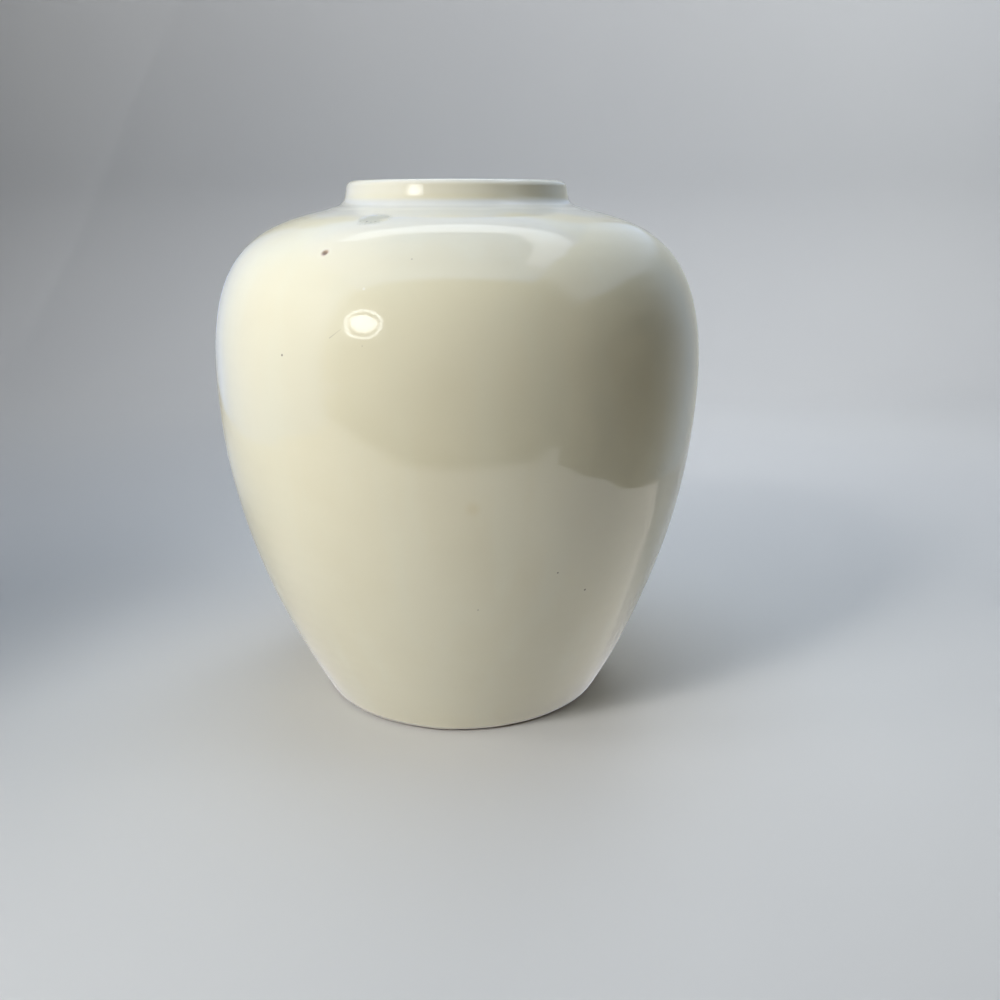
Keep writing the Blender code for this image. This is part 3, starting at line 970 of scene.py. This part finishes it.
# soft lamps: place and aim in metres, glow as radiance, mirrored where the glaze shows the lamp
softLamps = {
    "keyLamp": {
        "place": (-0.629, -0.670, 0.538), "aim": (-0.029, -0.085, 0.158),
        "size": (0.215, 0.165), "shape": "ELLIPSE",
        "spread": 180, "glow": 6.4, "colour": (1.0, 0.985, 0.95), "mirrored": True,
    },
    "softKey": {
        "place": (-0.75, -0.48, 0.54), "aim": (0.05, 0.05, 0.08), "size": (0.50, 0.50), "shape": "DISK",
        "spread": 110, "glow": 4.7, "colour": (0.99, 0.985, 0.965),
    },
    "sharpKey": {
        "place": (-0.543, -0.525, 0.729), "aim": (0.05, 0.0, 0.03), "size": (0.13, 0.13), "shape": "DISK",
        "spread": 110, "glow": 16.0, "colour": (1.0, 0.97, 0.90),
    },
    "topPanel": {
        "place": (0.0, 0.05, 0.80), "aim": (0.0, 0.02, 0.10), "size": (0.45, 0.45), "shape": "RECTANGLE",
        "spread": 120, "glow": 1.02, "colour": (0.80, 1.0, 1.25),
    },
    "widePanel": {
        "place": (0.0, 0.10, 1.10), "aim": (0.0, 0.05, 0.13), "size": (1.3, 1.1), "shape": "RECTANGLE",
        "spread": 180, "glow": 0.06, "colour": (0.97, 1.0, 1.04),
    },
    "backLamp": {
        "place": (0.85, -0.05, 0.90), "aim": (0.50, 0.74, 0.45), "size": (0.6, 0.6), "shape": "RECTANGLE",
        "spread": 120, "glow": 2.5, "colour": (0.95, 1.0, 1.05),
    },
    "backdropLamp": {
        "place": (-0.05, 0.30, 1.35), "aim": (-0.05, 0.74, 0.85), "size": (0.7, 0.3), "shape": "RECTANGLE",
        "spread": 110, "glow": 5.4, "colour": (1.0, 1.0, 1.0),
    },
    "leftLamp": {
        "place": (-0.34, -0.14, 0.34), "aim": (0.05, 0.02, 0.04), "size": (0.12, 0.12), "shape": "DISK",
        "spread": 55, "glow": 1.25, "colour": (1.0, 0.985, 0.95),
    },
    "sideLamp": {
        "place": (0.34, 0.62, 0.75), "aim": (0.17, 0.10, 0.0), "size": (0.3, 0.3), "shape": "RECTANGLE",
        "spread": 65, "glow": 0.72, "colour": (0.95, 1.0, 1.05),
    },
}


def facing(place, aim):
    return (Vector(place) - Vector(aim)).to_track_quat("Z", "Y").to_euler()


def makeLamp(name, s):
    lamp = bpy.data.lights.new(name, "AREA")
    lamp.shape = s["shape"]
    lamp.size, lamp.size_y = s["size"]
    area = s["size"][0] * s["size"][1] * (1.0 if s["shape"] == "RECTANGLE" else math.pi / 4)
    lamp.spread = math.radians(s["spread"])
    lamp.color = s["colour"]
    lamp.energy = s["glow"] * math.pi * area
    holder = bpy.data.objects.new(name, lamp)
    bpy.context.scene.collection.objects.link(holder)
    holder.location = s["place"]
    holder.rotation_euler = facing(s["place"], s["aim"])
    holder.visible_camera = False
    holder.visible_glossy = s.get("mirrored", False)


for lampName, lampSettings in softLamps.items():
    makeLamp(lampName, lampSettings)

# cards for the gloss of the glaze to mirror, in metres: a flat card has a level and an outline,
# an upright one has the foot line of its wall and its rise from low to high
# fades are (axis, clear at, full at), mottle is how far the glow wavers
dullCards = {
    "keyRim": {
        "ring": (0.124, 0.150), "place": (-0.631, -0.672, 0.540), "aim": (-0.029, -0.085, 0.158),
        "glow": rgb(4.80, 5.00, 5.00),
    },
    "frontCard": {
        "wall": [(-2.6, -1.2), (2.2, -1.2)], "rise": (0.0, 3.4),
        "glow": rgb(0.0, 0.0, 0.0), "absorbs": True,
    },
    "frontFloorCard": {
        "level": 0.001, "outline": [(-1.65, -1.6), (1.33, -1.6), (0.6, -0.31), (-0.8, -0.31)],
        "glow": rgb(0.0, 0.0, 0.0),
    },
    "floorCard": {
        "level": 0.0012, "outline": [(-0.7, -0.36), (0.5, -0.36), (0.6, 0.5), (-0.7, 0.5)],
        "glow": rgb(0.76, 0.76, 0.79), "fades": [(1, -0.36, -0.32), (1, 0.04, -0.03)],
    },
    "leftFloorCard": {
        "level": 0.0013, "outline": [(-0.7, -0.05), (-0.16, -0.05), (-0.20, 0.5), (-0.7, 0.5)],
        "glow": rgb(0.50, 0.58, 0.70), "fades": [(0, -0.17, -0.27), (1, -0.05, 0.02), (1, 0.45, 0.20)],
    },
    "rightFloorCard": {
        "level": 0.0014, "outline": [
            (0.03, -0.25), (0.4, -0.25), (0.4, 0.085), (0.055, -0.03), (0.03, -0.05),
        ],
        "glow": rgb(0.96, 0.94, 0.93), "fades": [(0, 0.03, 0.10)],
    },
    "rightFrontCard": {
        "wall": [(0.226, -0.285), (0.282, 0.12)], "rise": (0.0, 0.31),
        "glow": rgb(0.16, 0.14, 0.10), "fades": [(1, -0.285, -0.275), (1, 0.12, -0.08), (2, 0.31, 0.29)],
        "mottle": 0.5, "absorbs": True,
    },
    "rightMidCard": {
        "wall": [(0.285, -0.12), (0.285, 0.40)], "rise": (0.0, 0.34),
        "glow": rgb(0.48, 0.57, 0.68),
    },
    "rightBackCard": {
        "wall": [(0.284, 0.12), (0.284, 0.70)], "rise": (0.0, 0.36),
        "glow": rgb(0.53, 0.56, 0.56), "fades": [(1, 0.12, 0.30)],
    },
    "rightTopCard": {
        "wall": [(0.278, -0.30), (0.278, 0.80)], "rise": (0.28, 0.62),
        "glow": rgb(0.76, 0.88, 1.07), "fades": [(1, -0.30, -0.10), (2, 0.28, 0.33)],
    },
    "leftCard": {
        "wall": [(-0.43, -0.34), (-0.43, 0.5)], "rise": (0.0, 0.62),
        "glow": rgb(0.43, 0.63, 1.02), "fades": [(1, -0.34, -0.24)],
    },
    "leftBackCard": {
        "wall": [(-0.43, 0.5), (-0.30, 0.85)], "rise": (0.0, 0.62),
        "glow": rgb(0.45, 0.56, 0.80),
    },
    "domeCard": {
        "level": 0.62, "outline": [
            (-0.20, -0.17), (0.20, -0.17), (0.21, -0.05), (0.17, 0.08), (0.11, 0.21), (0.0, 0.225),
            (-0.11, 0.21), (-0.18, 0.10), (-0.205, -0.02),
        ],
        "glow": rgb(0.20, 0.46, 1.12),
    },
    "streakCard": {
        "level": 0.619, "outline": [
            (-0.20, 0.20), (-0.11, 0.23), (0.0, 0.24), (0.11, 0.23), (0.17, 0.10), (0.19, -0.14),
            (0.29, -0.14), (0.27, 0.20), (0.16, 0.36), (0.0, 0.40), (-0.15, 0.36), (-0.28, 0.24),
        ],
        "glow": rgb(1.43, 1.68, 2.30),
    },
    "archCard": {
        "level": 0.625, "outline": [
            (-0.43, -0.17), (0.29, -0.17), (0.29, 0.25), (0.20, 0.45), (0.12, 0.85), (-0.12, 0.85),
            (-0.25, 0.60), (-0.43, 0.30),
        ],
        "glow": rgb(0.52, 0.71, 1.26), "fades": [(1, 1.00, 0.36)],
    },
    "topFrontCard": {
        "level": 0.62, "outline": [(-0.43, -0.38), (0.29, -0.38), (0.29, -0.17), (-0.43, -0.17)],
        "glow": rgb(0.50, 0.80, 1.42), "fades": [(1, -0.35, -0.27)],
    },
    "upperCard": {
        "level": 0.63, "outline": [(-0.6, -0.10), (0.6, -0.10), (0.6, 0.9), (-0.6, 0.9)],
        "glow": rgb(0.57, 0.74, 1.07),
    },
    "shadowFlag": {
        "wall": [(-0.37, -0.25), (-0.64, 0.74)], "rise": (0.0, 0.9),
        "glow": rgb(0.0, 0.0, 0.0), "flag": True,
    },
}


def cardCorners(s):
    if "outline" in s:
        return [(x, y, s["level"]) for x, y in s["outline"]]
    low, high = s["rise"]
    return [(x, y, low) for x, y in s["wall"]] + [(x, y, high) for x, y in reversed(s["wall"])]


def cardMesh(name, s):
    mesh = bpy.data.meshes.new(name)
    if "ring" not in s:
        corners = cardCorners(s)
        mesh.from_pydata(corners, [], [range(len(corners))])
        return mesh
    turn = evenTurn(64)
    edges = [[(r * math.cos(a), r * math.sin(a), 0.0) for a in turn] for r in s["ring"]]
    count = len(turn)
    quads = [(i, (i + 1) % count, count + (i + 1) % count, count + i) for i in range(count)]
    mesh.from_pydata(edges[0] + edges[1], [], quads)
    return mesh


def makeCard(name, s):
    mesh = cardMesh(name, s)
    material = bpy.data.materials.new(name)
    material.use_nodes = True
    tree = material.node_tree
    tree.nodes.remove(tree.nodes["Principled BSDF"])
    place = addNode(tree, "ShaderNodeTexCoord").outputs["Object"]
    colour = s["glow"]
    if "mottle" in s:
        waver = rangeOf(tree, noiseOf(tree, place, 28.0, 4.0), 0.35, 0.65, 1 - s["mottle"], 1 + s["mottle"])
        sockets = {0: waver, 1: s["glow"][:3]}
        colour = addNode(tree, "ShaderNodeVectorMath", sockets, operation="MULTIPLY").outputs[0]
    shine = addNode(tree, "ShaderNodeEmission", {"Color": colour, "Strength": 1.0}).outputs[0]
    if "fades" in s:
        axes = addNode(tree, "ShaderNodeSeparateXYZ", {0: place}).outputs
        full = 1.0
        for axis, clearAt, fullAt in s["fades"]:
            full = mathOf(tree, rangeOf(tree, axes[axis], clearAt, fullAt), full, "MULTIPLY")
        clear = addNode(tree, "ShaderNodeBsdfTransparent").outputs[0]
        shine = addNode(tree, "ShaderNodeMixShader", {0: full, 1: clear, 2: shine}).outputs[0]
    tree.links.new(shine, tree.nodes["Material Output"].inputs["Surface"])
    mesh.materials.append(material)
    card = bpy.data.objects.new(name, mesh)
    if "place" in s:
        card.location = s["place"]
        card.rotation_euler = facing(s["place"], s["aim"])
    bpy.context.scene.collection.objects.link(card)
    card.visible_camera = False
    # an absorbing card also takes bounced light away; a flag keeps light off the paper, unseen by the glaze
    card.visible_diffuse = s.get("absorbs", False)
    card.visible_shadow = s.get("flag", False)
    card.visible_glossy = not s.get("flag", False)


for cardName, cardSettings in dullCards.items():
    makeCard(cardName, cardSettings)

# pale surround
surround = {"colour": rgb(0.86, 0.88, 0.92), "strength": 0.02, "seen": 0.75}


def makeSurround(s):
    world = bpy.data.worlds.new("surround")
    bpy.context.scene.world = world
    world.use_nodes = True
    tree = world.node_tree
    path = addNode(tree, "ShaderNodeLightPath").outputs
    seen = mathOf(tree, path["Is Camera Ray"], path["Is Glossy Ray"])
    seen = mathOf(tree, seen, path["Is Transmission Ray"])
    strength = rangeOf(tree, seen, 0.0, 1.0, s["strength"], s["seen"])
    back = tree.nodes["Background"]
    back.inputs["Color"].default_value = s["colour"]
    tree.links.new(strength, back.inputs["Strength"])


makeSurround(surround)
print("studio made:", len(softLamps), "lamps,", len(dullCards), "cards")

# camera at the photographed angle
cameraView = {
    "place": (0.0, -0.3631, 0.1920),
    "down": 18.04,
    "turn": -2.55,
    "roll": 0.04,
    "lens": 32.80,
    "sensor": 36.0,
}


def makeCamera(c):
    data = bpy.data.cameras.new("vaseCamera")
    data.lens = c["lens"]
    data.sensor_width = c["sensor"]
    data.clip_start = 0.01
    camera = bpy.data.objects.new("vaseCamera", data)
    camera.location = c["place"]
    camera.rotation_euler = [math.radians(v) for v in (90 - c["down"], c["roll"], c["turn"])]
    bpy.context.scene.collection.objects.link(camera)
    bpy.context.scene.camera = camera


makeCamera(cameraView)
bpy.context.scene.view_settings.view_transform = "Standard"
